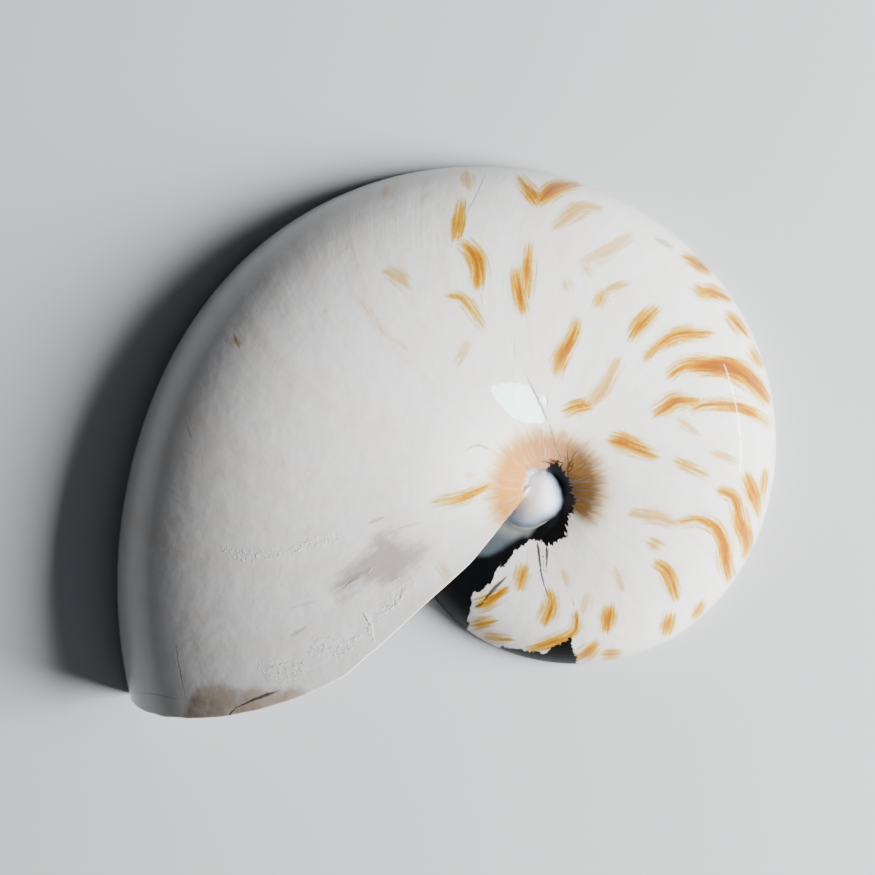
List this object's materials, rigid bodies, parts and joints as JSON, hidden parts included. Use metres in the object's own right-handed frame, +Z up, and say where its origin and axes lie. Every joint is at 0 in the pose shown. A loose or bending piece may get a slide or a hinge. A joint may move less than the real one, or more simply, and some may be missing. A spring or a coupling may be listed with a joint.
{
  "type": "nautilus shell half",
  "caption": "Half of a chambered nautilus shell, cut along its middle plane and lying on the cut, with an open body chamber, curved septa and a callus in the umbilicus.",
  "frame": {"origin": "under the middle of the half's bounding box, on the surface that its cut face rests on", "axes": "+X along the longest extent, from the lip side to the round back; +Y across it, from the lip to the top of the spiral; +Z up out of the cut face along the coiling axis"},
  "size_m": [0.146, 0.1194, 0.0397],
  "materials": {
    "shell": "gloss"
  },
  "bodies": {
    "root": {"shell": "shell"}
  },
  "joints": []
}
